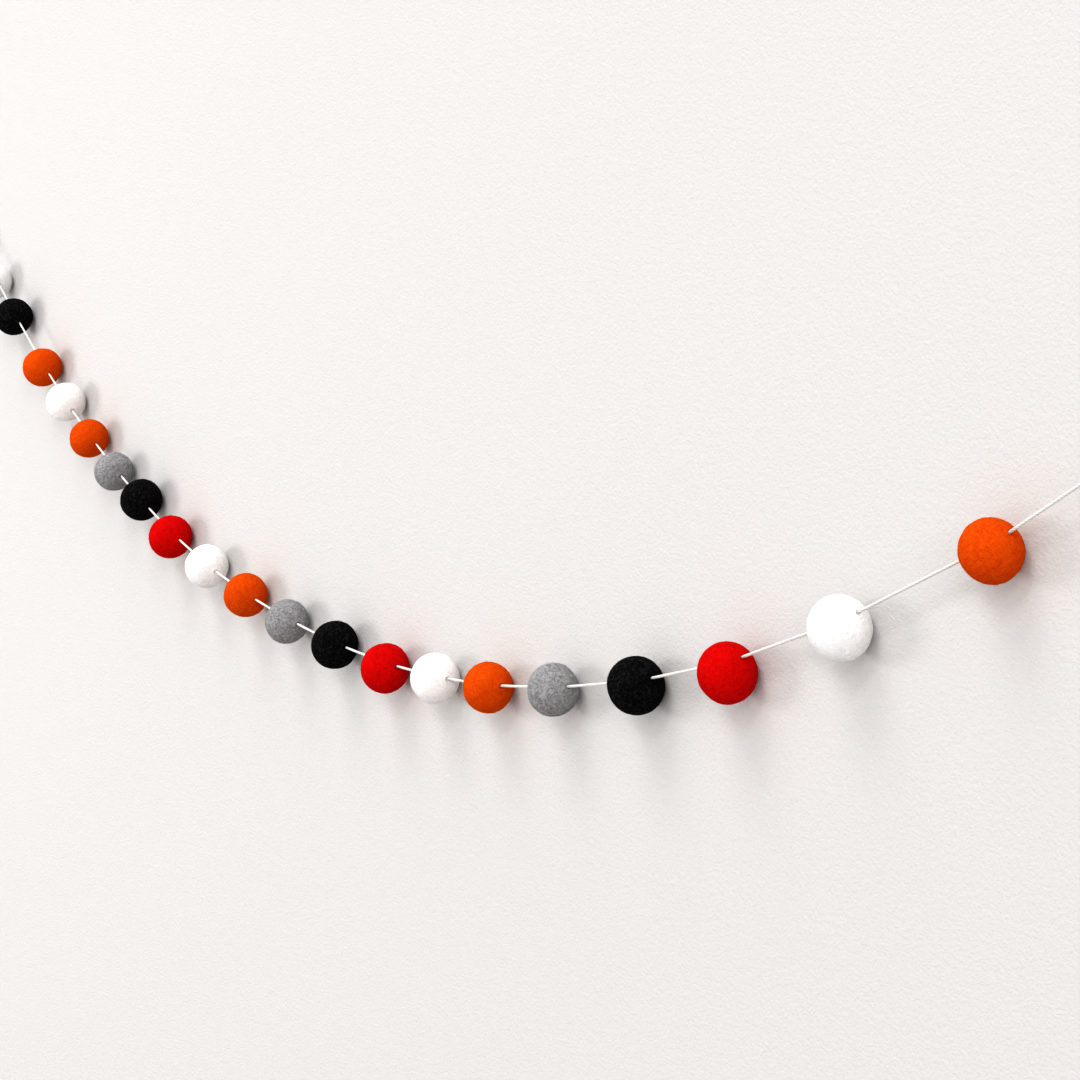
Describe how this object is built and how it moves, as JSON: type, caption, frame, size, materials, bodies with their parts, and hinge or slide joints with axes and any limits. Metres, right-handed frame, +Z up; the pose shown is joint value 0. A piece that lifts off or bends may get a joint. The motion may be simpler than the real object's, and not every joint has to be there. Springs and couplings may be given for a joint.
{
  "type": "felt ball garland",
  "caption": "Hanging garland of round wool felt balls in white, black, orange, grey and red, threaded on a thin white string with a tied loop at each end.",
  "frame": {"origin": "the point inside the left hanging loop where it bears on whatever holds it", "axes": "+X along the wall from the left end to the right, +Y into the wall, +Z up"},
  "size_m": [1.0302, 0.0264, 0.3109],
  "materials": {
    "felt_white": "matte wet-felted wool, natural white, with fine raised fibres",
    "felt_black": "matte wet-felted wool, black, with fine raised fibres",
    "felt_orange": "matte wet-felted wool, bright orange, with fine raised fibres",
    "felt_grey": "matte wet-felted wool, mid grey heathered with light and dark fibres",
    "felt_red": "matte wet-felted wool, bright red, with fine raised fibres",
    "string": "matte twisted white cotton string"
  },
  "bodies": {
    "root": {"ball_01_white": "felt_white", "ball_02_black": "felt_black", "ball_03_orange": "felt_orange", "ball_04_white": "felt_white", "ball_05_orange": "felt_orange", "ball_06_grey": "felt_grey", "ball_07_black": "felt_black", "ball_08_red": "felt_red", "ball_09_white": "felt_white", "ball_10_orange": "felt_orange", "ball_11_grey": "felt_grey", "ball_12_black": "felt_black", "ball_13_red": "felt_red", "ball_14_white": "felt_white", "ball_15_orange": "felt_orange", "ball_16_grey": "felt_grey", "ball_17_black": "felt_black", "ball_18_red": "felt_red", "ball_19_white": "felt_white", "ball_20_orange": "felt_orange", "string": "string", "loop_left": "string", "loop_right": "string", "knot_left": "string", "knot_right": "string", "tail_left": "string", "tail_right": "string"}
  },
  "joints": []
}
